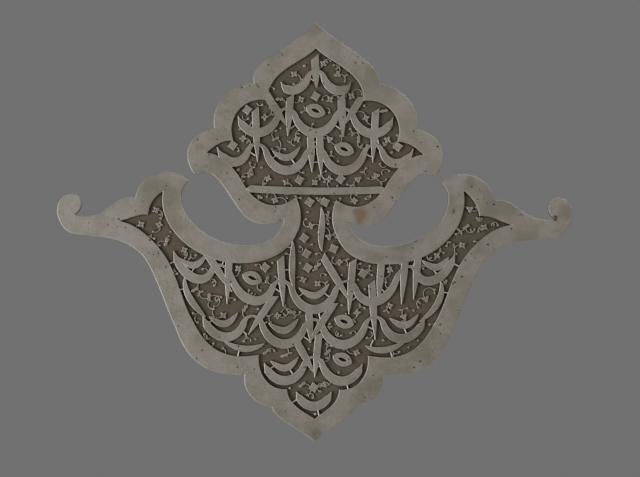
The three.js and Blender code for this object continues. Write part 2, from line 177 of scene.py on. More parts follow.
# Lower values keep a stroke broad nearer to its ends
BLADE_FULLNESS = 0.7
BELLY_FULLNESS = 0.6

# The long level bar below the rows of the medallion: left end, right end, height, sag
BAR = (-53, 55, 34, 1.5)
BAR_END = 0.03

# Short single strokes between the rows: start, two handles, end
SWEEPS = [
    ((5, 20), (8, 8), (3, -4), (6, -14)),
    ((-17, -6), (-16, -20), (-19, -32), (-15, -44)),
    ((-100, -34), (-102, -48), (-92, -58), (-84, -66)),
    ((98, -36), (102, -48), (94, -60), (82, -68)),
    ((-70, -84), (-58, -92), (-48, -92), (-38, -86)),
    ((40, -87), (50, -93), (60, -91), (72, -83)),
]

# Lozenges: middle x, middle z, angle in degrees
LOZENGES = [
    (-4, 24, 10), (8, 24, 18), (-8, -4, 8), (-6, -16, 12), (15, -12, 20), (-5, -27, 10),
    (-38, -27, 6), (-12, 41, 12), (20, 42, 8), (0, 106, 14), (-53, 95, 10), (38, -31, 14),
]
LOZENGE_TILT = 10

# The flowers and the small sprigs between them stand on the roomiest spots of two grids: spacing,
# cells each way from the middle, least clearance, and how far each keeps the next ones away
FLOWER_GRID = (14, 11, 3.4, 7)
SPRIG_GRID = (9, 17, 1.9, 4.6)
TRIES = 5

# Stains with places of their own: middle, radius, strength, colour
STAINS = [
    ((36, 15), 9, 0.75, "rust"), ((196, 18), 9, 0.6, "tarnish"), ((186, 13), 3.2, 0.95, "dirt_and_shade"),
    ((2, -156), 7, 0.7, "tarnish"), ((-90, 65), 6, 0.4, "rust"), ((120, 41), 8, 0.5, "tarnish"),
]

# How the photograph was taken: its size and scale, and where the plaque's middle lies in it
PHOTO_WIDTH_PX = 640
PHOTO_HEIGHT_PX = 477
PHOTO_MM_PER_PX = 0.775
MIDDLE_PX = (314.5, 233.0)


class PlateSettings(bpy.types.PropertyGroup):
    """Sizes of the plate, its band and its ground"""

    thickness: bpy.props.FloatProperty(
        name="Thickness", description="Plate from its back to the top of the band",
        default=5 * MM, unit="LENGTH",
    )
    ground: bpy.props.FloatProperty(
        name="Ground", description="Steel left behind the sunk ground",
        default=2 * MM, unit="LENGTH",
    )
    arris: bpy.props.FloatProperty(
        name="Arris", description="Rounding along the band's front edges",
        default=0.7 * MM, unit="LENGTH",
    )
    unevenness: bpy.props.FloatProperty(
        name="Unevenness", description="How far the chiselled ground rises and falls",
        default=0.3 * MM, unit="LENGTH",
    )


class StrokeSettings(bpy.types.PropertyGroup):
    """Sizes of the raised strokes, where they are broadest"""

    swing_width: bpy.props.FloatProperty(
        name="Swing width", description="The ribbon that swings along a row, in its hollows",
        default=7.2 * MM, unit="LENGTH",
    )
    thin_share: bpy.props.FloatProperty(
        name="Thin share", description="The ribbon over its crests, as a share of its width",
        default=0.28,
    )
    blade_width: bpy.props.FloatProperty(
        name="Blade width", description="The straight blades", default=5.6 * MM, unit="LENGTH",
    )
    blade_slant: bpy.props.FloatProperty(
        name="Blade slant", description="Slant of the blades' heads", default=0.7,
    )
    foot_share: bpy.props.FloatProperty(
        name="Foot share", description="How much of a blade its pointed foot takes", default=0.5,
    )
    crescent_width: bpy.props.FloatProperty(
        name="Crescent width", description="The crescents in the hollows",
        default=5.4 * MM, unit="LENGTH",
    )
    sweep_width: bpy.props.FloatProperty(
        name="Sweep width", description="The single strokes", default=5 * MM, unit="LENGTH",
    )
    bar_width: bpy.props.FloatProperty(
        name="Bar width", description="The long bar", default=5.6 * MM, unit="LENGTH",
    )
    least_width: bpy.props.FloatProperty(
        name="Least width", description="Any stroke where it runs out",
        default=0.9 * MM, unit="LENGTH",
    )
    leaf_length: bpy.props.FloatProperty(
        name="Leaf length", description="An almond leaf from tip to tip",
        default=16 * MM, unit="LENGTH",
    )
    leaf_width: bpy.props.FloatProperty(
        name="Leaf width", description="An almond leaf across", default=10.5 * MM, unit="LENGTH",
    )
    eye_length: bpy.props.FloatProperty(
        name="Eye length", description="A leaf's eye from tip to tip",
        default=7 * MM, unit="LENGTH",
    )
    eye_width: bpy.props.FloatProperty(
        name="Eye width", description="A leaf's eye across", default=2.6 * MM, unit="LENGTH",
    )
    drop: bpy.props.FloatProperty(
        name="Drop", description="How far the strokes' tops lie below the band",
        default=0.15 * MM, unit="LENGTH",
    )
    arris: bpy.props.FloatProperty(
        name="Arris", description="Rounding along the strokes' top edges",
        default=0.35 * MM, unit="LENGTH",
    )


class OrnamentSettings(bpy.types.PropertyGroup):
    """Sizes of the lozenges, flowers, tendrils and ties"""

    lozenge: bpy.props.FloatProperty(
        name="Lozenge", description="Side of a lozenge", default=6 * MM, unit="LENGTH",
    )
    flower: bpy.props.FloatProperty(
        name="Flower", description="Radius of a flower", default=2.9 * MM, unit="LENGTH",
    )
    flower_height: bpy.props.FloatProperty(
        name="Flower height", description="Flowers above the ground",
        default=2.1 * MM, unit="LENGTH",
    )
    tendril: bpy.props.FloatProperty(
        name="Tendril", description="Width of a tendril", default=0.9 * MM, unit="LENGTH",
    )
    tendril_height: bpy.props.FloatProperty(
        name="Tendril height", description="Tendrils and sprigs above the ground",
        default=1.5 * MM, unit="LENGTH",
    )
    tie: bpy.props.FloatProperty(
        name="Tie", description="Width of a tie across a narrow gap",
        default=1.2 * MM, unit="LENGTH",
    )
    tie_height: bpy.props.FloatProperty(
        name="Tie height", description="Ties above the ground", default=2.3 * MM, unit="LENGTH",
    )


class FinishSettings(bpy.types.PropertyGroup):
    """Colours of the steel and of what has settled on it, and of the painted edge highlight and
    painted shade
    """

    steel: bpy.props.FloatVectorProperty(
        name="Steel", description="Worn steel of the band and the strokes",
        default=(0.44, 0.40, 0.345), subtype="COLOR", min=0, max=1,
    )
    olive: bpy.props.FloatVectorProperty(
        name="Olive", description="Slightly green patches of the steel",
        default=(0.37, 0.35, 0.285), subtype="COLOR", min=0, max=1,
    )
    # Painted highlight, partly wear: the bright colour laid on the rounded arrises where light
    # catches the edges
    worn_edge_highlight: bpy.props.FloatVectorProperty(
        name="Worn", description="Bright steel along the worn edges",
        default=(0.85, 0.79, 0.70), subtype="COLOR", min=0, max=1,
    )
    tarnish: bpy.props.FloatVectorProperty(
        name="Tarnish", description="Duller patches and specks on the steel",
        default=(0.25, 0.225, 0.18), subtype="COLOR", min=0, max=1,
    )
    rust: bpy.props.FloatVectorProperty(
        name="Rust", description="Orange-brown stains", default=(0.30, 0.20, 0.12),
        subtype="COLOR", min=0, max=1,
    )
    ground: bpy.props.FloatVectorProperty(
        name="Ground", description="Brown of the sunk ground",
        default=(0.135, 0.105, 0.077), subtype="COLOR", min=0, max=1,
    )
    ground_green: bpy.props.FloatVectorProperty(
        name="Greenish ground", description="Greenish patches of the ground",
        default=(0.115, 0.103, 0.068), subtype="COLOR", min=0, max=1,
    )
    ground_pink: bpy.props.FloatVectorProperty(
        name="Pinkish ground", description="Pinkish patches of the ground",
        default=(0.155, 0.118, 0.098), subtype="COLOR", min=0, max=1,
    )
    # Dirt in pits and stains, and also the painted shade laid on the ground in narrow slots and under
    # the walls
    dirt_and_shade: bpy.props.FloatVectorProperty(
        name="Dirt", description="Dark dirt in pits, narrow slots and under the walls",
        default=(0.022, 0.015, 0.009), subtype="COLOR", min=0, max=1,
    )


class StageSettings(bpy.types.PropertyGroup):
    """The studio round the plaque"""

    lens: bpy.props.FloatProperty(
        name="Lens", description="Focal length of the camera in millimetres", default=100,
    )
    roll: bpy.props.FloatProperty(
        name="Roll", description="How far the camera is rolled",
        default=math.radians(-0.5), subtype="ANGLE",
    )
    floor_drop: bpy.props.FloatProperty(
        name="Floor drop", description="Floor below the plaque's middle",
        default=0.75, unit="LENGTH",
    )
    floor_radius: bpy.props.FloatProperty(
        name="Floor radius", description="Radius of the round floor", default=2.2, unit="LENGTH",
    )
    backdrop: bpy.props.FloatVectorProperty(
        name="Backdrop", description="Plain grey all round",
        default=(0.165, 0.165, 0.165), subtype="COLOR", min=0, max=1,
    )


def settings(name):
    return getattr(bpy.context.scene, name)


def deselect_all():
    for thing in bpy.context.selected_objects:
        thing.select_set(False)


def choose(*objects):
    deselect_all()
    for thing in objects:
        thing.select_set(True)
    bpy.context.view_layer.objects.active = objects[0]


def new_curve(name, fill):
    data = bpy.data.curves.new(name, "CURVE")
    data.dimensions = "2D"
    data.fill_mode = fill
    thing = bpy.data.objects.new(name, data)
    bpy.context.scene.collection.objects.link(thing)
    return thing


def add_poly_spline(data, points, closed=True):
    spline = data.splines.new("POLY")
    spline.points.add(len(points) - 1)
    for target, (x, z) in zip(spline.points, points):
        target.co = (x * MM, z * MM, 0, 1)
    spline.use_cyclic_u = closed


def add_bezier_outline(data, stretches, resolution):
    """A closed cubic outline from stretches of start, two handles and end"""
    spline = data.splines.new("BEZIER")
    spline.bezier_points.add(len(stretches) - 1)
    spline.use_cyclic_u = True
    spline.resolution_u = resolution
    for i, (start, first, _, _) in enumerate(stretches):
        point = spline.bezier_points[i]
        point.handle_left_type = point.handle_right_type = "FREE"
        point.co = (start[0] * MM, start[1] * MM, 0)
        point.handle_right = (first[0] * MM, first[1] * MM, 0)
        before = stretches[i - 1][2]
        point.handle_left = (before[0] * MM, before[1] * MM, 0)


def stand_up(thing, back, front, arris, rounds=1):
    """Gives a flat curve its depth, rounds its edges, stands it up and makes it a closed mesh"""
    half = (front - back) / 2
    thing.data.extrude = half - arris
    thing.data.bevel_depth = arris
    thing.data.bevel_resolution = rounds
    if thing.data.fill_mode == "BOTH":
        thing.data.offset = -arris
    thing.rotation_euler.x = math.pi / 2
    thing.location.y = -(front + back) / 2
    choose(thing)
    bpy.ops.object.convert(target="MESH")
    bpy.ops.object.transform_apply(location=True, rotation=True, scale=True)
    close_seams(thing)
    return thing


def close_seams(thing):
    choose(thing)
    bpy.ops.object.mode_set(mode="EDIT")
    bpy.ops.mesh.select_all(action="SELECT")
    bpy.ops.mesh.remove_doubles(threshold=0.002 * MM)
    bpy.ops.mesh.normals_make_consistent(inside=False)
    bpy.ops.mesh.select_all(action="DESELECT")
    bpy.ops.object.mode_set(mode="OBJECT")


def combine(thing, other, operation):
    """Joins or cuts two closed meshes, and removes the second"""
    choose(thing)
    modifier = thing.modifiers.new("Combine", "BOOLEAN")
    modifier.operation = operation
    modifier.solver = "MANIFOLD"
    modifier.object = other
    bpy.ops.object.modifier_apply(modifier=modifier.name)
    bpy.data.objects.remove(other)
    return thing


def unite_all(things):
    """Unites closed meshes two by two, so that most of the work is on small ones"""
    while len(things) > 1:
        pairs = zip(things[0::2], things[1::2])
        united = [combine(first, second, "UNION") for first, second in pairs]
        things = united + (things[-1:] if len(things) % 2 else [])
    return things[0]


def half_outline(tip, stretches, side):
    result = []
    start = (tip[0], tip[1])
    for first, second, end in stretches.values():
        result.append([(side * x, z) for x, z in (start, first, second, end)])
        start = end
    result[0][0] = tip
    result[-1][3] = (stretches[list(stretches)[-1]][2])
    return result


def closed_outline(tip, left, right):
    """Stretches all the way round, anticlockwise as seen from the front"""
    down = half_outline(tip, left, -1)
    up = [stretch[::-1] for stretch in reversed(half_outline(tip, right, 1))]
    return down + up


def outline_points(stretches, turn_limit):
    """The outline as points, each stretch in as many lengths as it turns by the limit"""
    points = []
    for stretch in stretches:
        count = lengths_needed(stretch, turn_limit)
        points += [cubic(stretch, i / count) for i in range(count)]
    return points


def cubic(stretch, t):
    weights = ((1 - t) ** 3, 3 * t * (1 - t) ** 2, 3 * t * t * (1 - t), t**3)
    return tuple(sum(w * p[axis] for w, p in zip(weights, stretch)) for axis in (0, 1))


def lengths_needed(stretch, turn_limit):
    samples = 24
    turn = 0
    before = None
    for i in range(samples + 1):
        here = tangent(stretch, i / samples)
        if before:
            turn += abs(before.angle_signed(here, 0))
        before = here
    return max(2, math.ceil(math.degrees(turn) / turn_limit))


def tangent(stretch, t):
    a, b, c, d = (Vector(point) for point in stretch)
    return 3 * (1 - t) ** 2 * (b - a) + 6 * t * (1 - t) * (c - b) + 3 * t * t * (d - c)


def width_of(row):
    return sum(row["swings"])


def baseline(row, x):
    half = width_of(row) / 2
    return row["z"] + row["bow"] * ((x - row["start"] - half) / half) ** 2


def swing_middle(row, number):
    return row["start"] + sum(row["swings"][:number]) + row["swings"][number] / 2


def stroke_along(line, broad, share_at, slant=0):
    """A stroke whose width is a share of its broadest, by how far along it is"""
    last = len(line) - 1
    return line, [broad * share_at(i / last) for i in range(last + 1)], slant


def swing_stroke(row, finer):
    sizes = settings("plaque_strokes")
    broad, thin = sizes.swing_width / MM, sizes.thin_share
    line, widths = [], []
    start = row["start"]
    for number, length in enumerate(row["swings"]):
        cuts = (7 if length > LONG_SWING else 4) * finer
        way = -1 if number % 2 == 0 else 1
        for i in range(0 if number == 0 else 1, cuts + 1):
            turn = math.pi * i / cuts
            rounded = (1 - math.cos(turn)) / 2
            share = SWING_ROUNDNESS * rounded + (1 - SWING_ROUNDNESS) * i / cuts
            x = start + length * share
            line.append((x, baseline(row, x) + way * SWING_DEPTH * length * math.sin(turn)))
            low = (1 - way * math.sin(turn)) / 2
            widths.append(broad * (thin + (1 - thin) * low))
        start += length
    for i in range(finer):
        widths[i] *= i / finer
        widths[-1 - i] *= i / finer
    return line, widths, 0


def blade_stroke(row, blade, finer):
    """A straight blade with a slanted head and a long pointed foot"""
    sizes = settings("plaque_strokes")
    number, lean, above, below, shift = blade
    cuts = 4 * finer
    x = swing_middle(row, number) + shift
    z = baseline(row, x)
    angle = math.radians(lean)
    line = []
    for i in range(cuts + 1):
        along = above - (above + below) * i / cuts
        line.append((x + along * math.sin(angle), z + along * math.cos(angle)))
    return stroke_along(
        line, sizes.blade_width / MM,
        lambda t: min(1, ((1 - t) / sizes.foot_share) ** BLADE_FULLNESS), sizes.blade_slant,
    )


def turned(point, degrees, centre):
    angle = math.radians(degrees)
    u, v = point
    return (
        centre[0] + u * math.cos(angle) - v * math.sin(angle),
        centre[1] + u * math.sin(angle) + v * math.cos(angle),
    )


def nests_of(kind):
    """Place, swing length and inward way of each nest of one kind"""
    places = []
    for row in ROWS:
        for number, nest in enumerate(row["nests"]):
            if nest == kind:
                length = row["swings"][number]
                inward = 1 if number % 2 == 0 else -1
                x = swing_middle(row, number)
                places.append((x, baseline(row, x) + inward * NEST_RISE * length, length, inward))
    return places


def broad_in_the_middle(t):
    return max(0, math.sin(math.pi * t)) ** BELLY_FULLNESS


def crescent_stroke(nest, finer):
    """A crescent with its open side to the outside of the swing"""
    x, z, length, inward = nest
    cuts = 6 * finer
    across = CRESCENT_ACROSS * length
    tilt = CRESCENT_TILT if inward > 0 else CRESCENT_TILT + 180
    line = []
    for i in range(cuts + 1):
        t = i / cuts
        point = (across * (t - 0.5), -CRESCENT_SAG * across * math.sin(math.pi * t))
        line.append(turned(point, tilt, (x, z)))
    broad = settings("plaque_strokes").crescent_width / MM
    return stroke_along(line, broad, broad_in_the_middle)


def sweep_stroke(handles, finer):
    cuts = 8 * finer
    line = [cubic(handles, i / cuts) for i in range(cuts + 1)]
    return stroke_along(line, settings("plaque_strokes").sweep_width / MM, broad_in_the_middle)


def bar_stroke(finer):
    left, right, z, sag = BAR
    quarter = [0.25 * i / finer for i in range(4 * finer + 1)]
    shares = sorted({BAR_END, 1 - BAR_END, *quarter})
    line = [(left + (right - left) * t, z - sag * math.sin(math.pi * t)) for t in shares]
    broad = settings("plaque_strokes").bar_width / MM
    return line, [broad * min(1, t / BAR_END, (1 - t) / BAR_END) for t in shares], 0


def all_strokes(finer):
    """Each stroke's line, its widths along it and the slant of its head"""
    strokes = [swing_stroke(row, finer) for row in ROWS]
    for row in ROWS:
        strokes += [blade_stroke(row, blade, finer) for blade in row["blades"]]
    strokes += [crescent_stroke(nest, finer) for nest in nests_of("crescent")]
    strokes += [sweep_stroke(handles, finer) for handles in SWEEPS]
    strokes.append(bar_stroke(finer))
    return strokes


def all_lozenges():
    return LOZENGES + [(x, z, LOZENGE_TILT) for x, z, _, _ in nests_of("lozenge")]


def distance_to_line(point, line):
    best = math.inf
    for start, end in zip(line, line[1:]):
        dx, dz = end[0] - start[0], end[1] - start[1]
        along = ((point[0] - start[0]) * dx + (point[1] - start[1]) * dz) / (dx * dx + dz * dz)
        t = min(1, max(0, along))
        gap = math.hypot(point[0] - start[0] - t * dx, point[1] - start[1] - t * dz)
        best = min(best, gap)
    return best


def is_inside(point, outline):
    inside = False
    for (ax, az), (bx, bz) in zip(outline, outline[1:] + outline[:1]):
        if (az > point[1]) != (bz > point[1]):
            if point[0] < ax + (point[1] - az) * (bx - ax) / (bz - az):
                inside = not inside
    return inside


def closed(outline):
    return outline + outline[:1]


class Ground:
    """The sunk ground's free room, for placing small ornament on it"""

    def __init__(self):
        self.outline = outline_points(closed_outline(GROUND_TIP, GROUND_LEFT, GROUND_RIGHT), 13)
        self.lines = [(line, max(widths) / 2) for line, widths, _ in all_strokes(1)]
        sizes = settings("plaque_strokes")
        lozenge = settings("plaque_ornament").lozenge / MM / math.sqrt(2)
        self.spots = [(x, z, sizes.leaf_length / MM / 2) for x, z, _, _ in nests_of("leaf")]
        self.spots += [(x, z, lozenge) for x, z, _ in all_lozenges()]

    def room_at(self, place, enough):
        """Distance to the nearest thing, or nothing as soon as it is less than enough"""
        if not is_inside(place, self.outline):
            return 0
        room = min(math.dist(place, (x, z)) - reach for x, z, reach in self.spots)
        if room <= enough:
            return 0
        room = min(room, distance_to_line(place, closed(self.outline)))
        for line, half_width in self.lines:
            if room <= enough:
                return 0
            room = min(room, distance_to_line(place, line) - half_width)
        return room

    def roomiest_spots(self, spacing, cells, clearance, reach):
        """The roomiest spot in each cell of a grid, where there is room for one"""
        places = []
        for row in range(-cells, cells + 1):
            for column in range(-cells, cells + 1):
                best, best_room = None, clearance
                for i in range(TRIES * TRIES):
                    place = (
                        (column + (i % TRIES + 0.5) / TRIES - 0.5) * spacing,
                        (row + (i // TRIES + 0.5) / TRIES - 0.5) * spacing,
                    )
                    room = self.room_at(place, best_room)
                    if room > best_room:
                        best, best_room = place, room
                if best:
                    places.append(best)
                    self.spots.append((*best, reach))
        return places

    def gap_beside(self, place, way, own):
        """How far it is from a point to the next stroke or the band, along a way"""
        step = 0.4
        for i in range(1, 14):
            here = (place[0] + way[0] * step * i, place[1] + way[1] * step * i)
            others = [pair for k, pair in enumerate(self.lines) if k != own]
            if not is_inside(here, self.outline):
                return step * i
            if any(distance_to_line(here, line) < 0.85 * half for line, half in others):
                return step * i
        return None


def right_of(line, i):
    """The way to the right of a line at one of its points"""
    before, after = line[max(i - 1, 0)], line[min(i + 1, len(line) - 1)]
    dx, dz = after[0] - before[0], after[1] - before[1]
    length = math.hypot(dx, dz)
    return dz / length, -dx / length


def stroke_outline(line, widths, slant):
    """A stroke's outline. The slant sets the right side of its head forward, the left side back."""
    least = settings("plaque_strokes").least_width / MM
    left, right = [], []
    for i, (x, z) in enumerate(line):
        nx, nz = right_of(line, i)
        reach = max(least, widths[i]) / 2
        skew = slant if i == 0 else 0
        across = ((nx - nz * skew) * reach, (nz + nx * skew) * reach)
        left.append((x - across[0], z - across[1]))
        right.append((x + across[0], z + across[1]))
    return left + right[::-1]


def almond(sides, length, width, degrees, centre):
    """An outline with two pointed ends"""
    points = []
    for i in range(sides):
        angle = 2 * math.pi * i / sides
        bulge = math.copysign(abs(math.sin(angle)) ** 1.5, math.sin(angle))
        points.append(turned((length / 2 * math.cos(angle), width / 2 * bulge), degrees, centre))
    return points


def round_outline(sides, radius_at, degrees, centre):
    points = []
    for i in range(sides):
        angle = 2 * math.pi * i / sides
        radius = radius_at(angle)
        points.append(turned((radius * math.cos(angle), radius * math.sin(angle)), degrees, centre))
    return points


def filled(name, outlines, back, front, arris, rounds=1):
    """A closed solid between two depths behind flat outlines, which may hold holes"""
    thing = new_curve(name, "BOTH")
    for outline in outlines:
        add_poly_spline(thing.data, outline)
    return stand_up(thing, back, front, arris, rounds)


def raised(name, outlines, height, arris, rounds=1):
    """A closed solid that stands on the ground, rooted a little way into it"""
    ground = settings("plaque_plate").ground
    return filled(name, outlines, ground - ROOT, ground + height, arris, rounds)


def rib(line, half_width, height):
    """A narrow round-topped rib along a line on the ground"""
    ground = settings("plaque_plate").ground
    thing = new_curve("rib", "NONE")
    thing.data.use_fill_caps = True
    add_poly_spline(thing.data, line, closed=False)
    return stand_up(thing, ground - ROOT, ground + height, half_width)


class PLAQUE_OT_plate(bpy.types.Operator):
    """Cuts the plate to its outline, with an uneven ground and a raised band round it"""

    bl_idname = "plaque.plate"
    bl_label = "Plate"

    def execute(self, context):
        sizes = settings("plaque_plate")
        outer = closed_outline(TOP_TIP, OUTER_LEFT, OUTER_RIGHT)
        ground = closed_outline(GROUND_TIP, GROUND_LEFT, GROUND_RIGHT)
        plate = new_curve(PIECE, "BOTH")
        add_bezier_outline(plate.data, outer, OUTLINE_CUTS)
        stand_up(plate, 0, sizes.ground + 2 * MM, sizes.arris / 2)
        combine(plate, make_uneven_block(sizes), "INTERSECT")
        band = new_curve("band", "BOTH")
        add_bezier_outline(band.data, outer, OUTLINE_CUTS)
        add_bezier_outline(band.data, ground, OUTLINE_CUTS)
        stand_up(band, sizes.ground / 2, sizes.thickness, sizes.arris, rounds=2)
        combine(plate, band, "UNION")
        return {"FINISHED"}


def make_uneven_block(sizes):
    """A block that ends in the uneven ground at its front"""
    width, height, step = 410 * MM, 340 * MM, 1.7 * MM
    deselect_all()
    bpy.ops.mesh.primitive_grid_add(
        x_subdivisions=round(width / step), y_subdivisions=round(height / step),
        size=1, location=(0, -sizes.ground, 0), rotation=(math.pi / 2, 0, 0),
    )
    block = bpy.context.object
    block.scale = (width, height, 1)
    bpy.ops.object.transform_apply(location=True, rotation=True, scale=True)
    for vertex in block.data.vertices:
        wave = noise.noise(vertex.co / (4 * MM)) + 0.5 * noise.noise(vertex.co / (1.8 * MM))
        vertex.co.y += sizes.unevenness * wave / 2
    bpy.ops.object.mode_set(mode="EDIT")
    bpy.ops.mesh.select_all(action="SELECT")
    bpy.ops.mesh.extrude_region_move(
        TRANSFORM_OT_translate={"value": (0, sizes.thickness, 0)}
    )
    bpy.ops.mesh.select_all(action="SELECT")
    bpy.ops.mesh.normals_make_consistent(inside=False)
    bpy.ops.mesh.select_all(action="DESELECT")
    bpy.ops.object.mode_set(mode="OBJECT")
    return block


class PLAQUE_OT_strokes(bpy.types.Operator):
    """Raises the rows of strokes, their almond leaves and the long bar"""

    bl_idname = "plaque.strokes"
    bl_label = "Strokes"

    def execute(self, context):
        sizes = settings("plaque_strokes")
        marks = [[stroke_outline(*stroke)] for stroke in all_strokes(4)]
        for x, z, _, _ in nests_of("leaf"):
            marks.append([
                almond(48, sizes.leaf_length / MM, sizes.leaf_width / MM, LEAF_TILT, (x, z)),
                almond(24, sizes.eye_length / MM, sizes.eye_width / MM, LEAF_TILT, (x, z)),
            ])
        solids = [raised("stroke", outlines, self.height(), sizes.arris) for outlines in marks]
        unite_all(solids).name = "strokes"
        return {"FINISHED"}

    def height(self):
        plate = settings("plaque_plate")
        return plate.thickness - plate.ground - settings("plaque_strokes").drop


class PLAQUE_OT_lozenges(bpy.types.Operator):
    """Raises the lozenges, with slightly hollow sides"""

    bl_idname = "plaque.lozenges"
    bl_label = "Lozenges"

    def execute(self, context):
        plate = settings("plaque_plate")
        strokes = settings("plaque_strokes")
        side = settings("plaque_ornament").lozenge / MM
        height = plate.thickness - plate.ground - strokes.drop
        marks = []
        for x, z, tilt in all_lozenges():
            outline = round_outline(40, lambda a: self.radius(a, side), tilt, (x, z))
            marks.append(raised("lozenge", [outline], height, strokes.arris))
        unite_all(marks).name = "lozenges"
        return {"FINISHED"}

    def radius(self, angle, side):
        """Distance from a square's middle to its side, with its corners and sides eased"""
        turn = angle % (math.pi / 2)
        straight = side / math.sqrt(2) / (math.cos(turn) + math.sin(turn))
        return straight * (1 - 0.07 * math.sin(2 * turn) ** 2)


class PLAQUE_OT_ornament(bpy.types.Operator):
    """Raises the flowers, the tendrils that curl out of them, the sprigs and the small ties"""

    bl_idname = "plaque.ornament"
    bl_label = "Ornament"

    def execute(self, context):
        sizes = settings("plaque_ornament")
        ground = Ground()
        draw = random.Random(11)
        flowers = ground.roomiest_spots(*FLOWER_GRID)
        sprigs = ground.roomiest_spots(*SPRIG_GRID)
        outlines = []
        for place in flowers:
            outlines += self.flower(place, sizes.flower / MM, draw)
        raised("flowers", outlines, sizes.flower_height, 0.18 * MM)
        stems = []
        for place in flowers:
            stems += self.tendrils(place, draw)
        for place in sprigs:
            stems += self.sprig(place, draw)
        unite_all(stems).name = "tendrils"
        unite_all(self.ties(ground)).name = "ties"
        return {"FINISHED"}

    def flower(self, place, radius, draw):
        """Four petals or three, with a hole in the middle, or a pair of wings without one"""
        tilt = draw.uniform(0, 90)
        petals = draw.choice((4, 4, 4, 3, 2))
        if petals == 2:
            return [round_outline(
                28, lambda a: radius * (0.3 + 0.75 * abs(math.cos(a)) ** 2.5), tilt, place
            )]
        petal = round_outline(
            12 * petals, lambda a: radius * (0.76 + 0.24 * math.cos(petals * a)), tilt, place
        )
        return [petal, round_outline(10, lambda a: 0.2 * radius, tilt, place)]

    def tendrils(self, place, draw):
        """One or two stems that leave a flower in a curl and end in a knob"""
        stems = []
        way = draw.uniform(0, 2 * math.pi)
        for number in range(draw.choice((1, 2, 2))):
            line = self.curl(place, way + math.pi * number, draw.uniform(3.2, 5.6), draw)
            stems.append(self.stem(line))
            stems.append(self.knob(line[-1], draw.uniform(0.75, 1.05)))
            if draw.random() < 0.7:
                stems.append(self.leaf(line, draw))
        return stems

    def curl(self, place, way, radius, draw):
        hand = draw.choice((-1, 1))
        sweep = math.radians(draw.uniform(110, 235))
        centre = (place[0] + radius * math.cos(way), place[1] + radius * math.sin(way))
        cuts = 16
        line = []
        for i in range(cuts + 1):
            t = i / cuts
            angle = way + math.pi + hand * sweep * t
            reach = radius * (1 - 0.3 * t)
            line.append((centre[0] + reach * math.cos(angle), centre[1] + reach * math.sin(angle)))
        return line

    def sprig(self, place, draw):
        """A knob, or a short bent stem with a knob or two"""
        kind = draw.choice(("knob", "stem", "fork"))
        if kind == "knob":
            return [self.knob(place, draw.uniform(0.8, 1.15))]
        line = self.curl(place, draw.uniform(0, 2 * math.pi), draw.uniform(2.2, 3.6), draw)
        marks = [self.stem(line), self.knob(line[0], 1.0)]
        if kind == "fork":
            marks.append(self.leaf(line, draw))
        return marks

    def stem(self, line):
        sizes = settings("plaque_ornament")
        return rib(line, sizes.tendril / 2, sizes.tendril_height)

    def knob(self, place, radius):
        sizes = settings("plaque_ornament")
        outline = round_outline(12, lambda a: radius, 0, place)
        return raised("knob", [outline], sizes.tendril_height + 0.25 * MM, 0.25 * MM)

    def leaf(self, line, draw):
        """A small pointed leaf that branches off a stem"""
        sizes = settings("plaque_ornament")
        i = round(draw.uniform(0.35, 0.65) * (len(line) - 1))
        nx, nz = right_of(line, i)
        side = draw.choice((-1, 1))
        tilt = math.degrees(math.atan2(side * nz, side * nx)) + draw.uniform(-30, 30)
        centre = (line[i][0] + 1.5 * side * nx, line[i][1] + 1.5 * side * nz)
        outline = almond(14, 4.4, 1.9, tilt, centre)
        return raised("leaf", [outline], sizes.tendril_height, 0.2 * MM, rounds=0)

    def ties(self, ground):
        """Short ties where a stroke comes close to its neighbour or to the band"""
        sizes = settings("plaque_ornament")
        ties = []
        made = []
        for number, (line, widths, _) in enumerate(all_strokes(1)):
            for i in range(1, len(line) - 1):
                nx, nz = right_of(line, i)
                for side in (-1, 1):
                    reach = widths[i] / 2
                    edge = (line[i][0] + side * nx * reach, line[i][1] + side * nz * reach)
                    if any(math.dist(edge, other) < 15 for other in made):
                        continue
                    gap = ground.gap_beside(edge, (side * nx, side * nz), number)
                    if gap and 1.2 < gap < 4.6:
                        start = (edge[0] - side * nx, edge[1] - side * nz)
                        end = (edge[0] + side * nx * (gap + 1), edge[1] + side * nz * (gap + 1))
                        ties.append(rib([start, end], sizes.tie / 2, sizes.tie_height))
                        made.append(edge)
        return ties


class PLAQUE_OT_unite(bpy.types.Operator):
    """Unites all that is carved into one closed piece, and gives it its finish"""

    bl_idname = "plaque.unite"
    bl_label = "Unite"

    def execute(self, context):
        plaque = bpy.data.objects[PIECE]
        for name in ("tendrils", "ties", "flowers", "lozenges", "strokes"):
            combine(plaque, bpy.data.objects[name], "UNION")
        choose(plaque)
        bpy.ops.object.shade_smooth_by_angle(angle=math.radians(12))
        plaque.data.materials.clear()
        plaque.data.materials.append(chiselled_steel())
        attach(plaque, "root")
        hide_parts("plaque")
        return {"FINISHED"}


def new_material(name):
    material = bpy.data.materials.new(name)
    material.use_nodes = True
    material.node_tree.nodes.clear()
    return material


